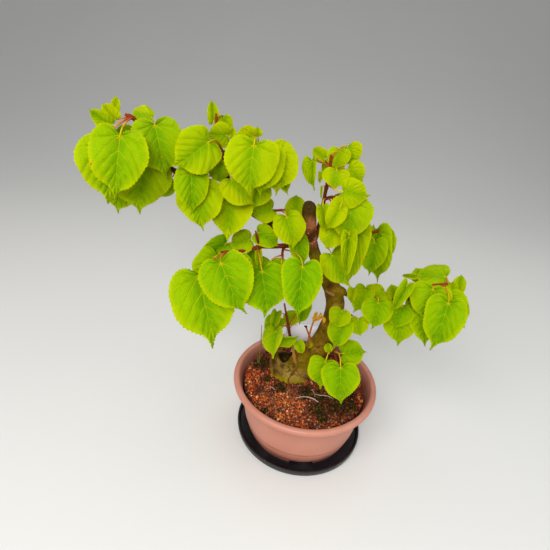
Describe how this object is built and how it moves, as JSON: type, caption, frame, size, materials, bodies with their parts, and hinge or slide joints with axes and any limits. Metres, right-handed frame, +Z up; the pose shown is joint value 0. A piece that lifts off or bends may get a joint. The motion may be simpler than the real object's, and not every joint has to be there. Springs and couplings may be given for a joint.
{
  "type": "small-leaved lime bonsai in a bowl",
  "caption": "Small-leaved lime grown as a bonsai: leaning trunk with a cut top and leafy sprays, standing in a round bowl of granular soil on a saucer.",
  "frame": {"origin": "centre of the saucer's underside, on the surface it stands on", "axes": "+Z up; -Y towards the front, the side the picture shows; +X to the right of the front"},
  "size_m": [0.4271, 0.2, 0.4418],
  "materials": {
    "bowl_plastic": "satin moulded plastic in a dusty clay pink, darker inside the wall",
    "saucer_plastic": "black, half gloss",
    "soil_granules": "matt fired-clay and bark granules with moss patches",
    "bark": "olive-brown bark, mossy at the foot, pinkish scars near the cut top",
    "leaf": "fresh yellow-green blades with paler veins, soft gloss",
    "twig": "red-brown young bark and leaf stalks",
    "label_plastic": "plain white",
    "dried_stem": "dry straw yellow-brown"
  },
  "bodies": {
    "root": {"saucer": "saucer_plastic", "pot": "bowl_plastic", "soil": "soil_granules", "trunk": "bark", "spray_tip_left": "leaf", "spray_upper_left": "leaf", "spray_crown_left": "leaf", "spray_inner_left": "leaf", "spray_middle_left": "leaf", "spray_top_right": "leaf", "spray_rear_right": "leaf", "spray_low_right": "leaf", "spray_foot_left": "leaf", "spray_foot_right": "leaf", "spray_waist_right": "leaf", "dried_shoots": "twig", "plant_label": "label_plastic", "grass_stem": "dried_stem"}
  },
  "joints": []
}
